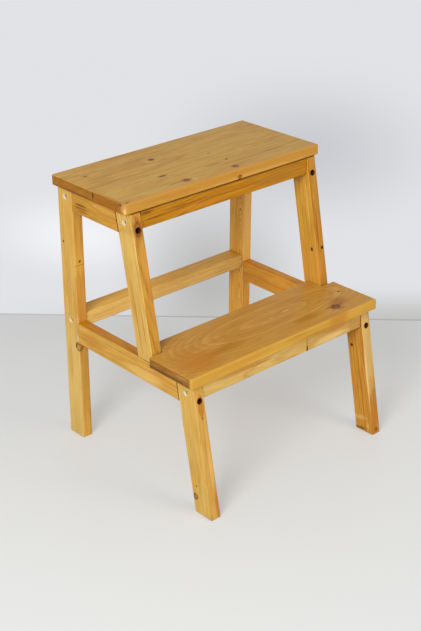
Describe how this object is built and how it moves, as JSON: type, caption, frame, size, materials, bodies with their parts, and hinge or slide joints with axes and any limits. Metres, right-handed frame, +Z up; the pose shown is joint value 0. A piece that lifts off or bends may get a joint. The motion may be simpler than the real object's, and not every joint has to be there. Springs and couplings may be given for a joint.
{
  "type": "wooden step stool",
  "caption": "Rigid two-step stool in clear-lacquered pine: leaning front legs, upright rear legs, board treads on side rails and cross bars, joined with recessed screws and dowels.",
  "frame": {"origin": "on the floor, midway between the side frames and midway between the front and the rear feet", "axes": "+Z up, +X along the steps towards the right-hand side frame, -Y towards the person who steps up, +Y towards the rear legs"},
  "size_m": [0.43, 0.3898, 0.5],
  "materials": {
    "top_step_pine": "clear satin lacquer on edge-glued pine",
    "lower_step_pine": "clear satin lacquer on edge-glued pine",
    "frame_pine": "clear satin lacquer on finger-jointed pine",
    "screw_steel": "zinc plated",
    "dowel_birch": "bare, glued in"
  },
  "bodies": {
    "root": {"top_step": "top_step_pine", "lower_step": "lower_step_pine", "rear_leg_left": "frame_pine", "rear_leg_right": "frame_pine", "upper_front_leg_left": "frame_pine", "upper_front_leg_right": "frame_pine", "lower_front_leg_left": "frame_pine", "lower_front_leg_right": "frame_pine", "side_apron_left": "frame_pine", "side_apron_right": "frame_pine", "side_rail_left": "frame_pine", "side_rail_right": "frame_pine", "front_apron": "frame_pine", "rear_apron": "frame_pine", "rear_stretcher": "frame_pine", "lower_front_apron": "frame_pine", "cross_bar_screws": "screw_steel", "side_frame_screws": "screw_steel", "upper_leg_foot_screws": "screw_steel", "top_step_screws": "screw_steel", "lower_step_screws": "screw_steel", "cross_bar_dowels": "dowel_birch", "side_frame_dowels": "dowel_birch", "upper_leg_foot_dowels": "dowel_birch"}
  },
  "joints": []
}
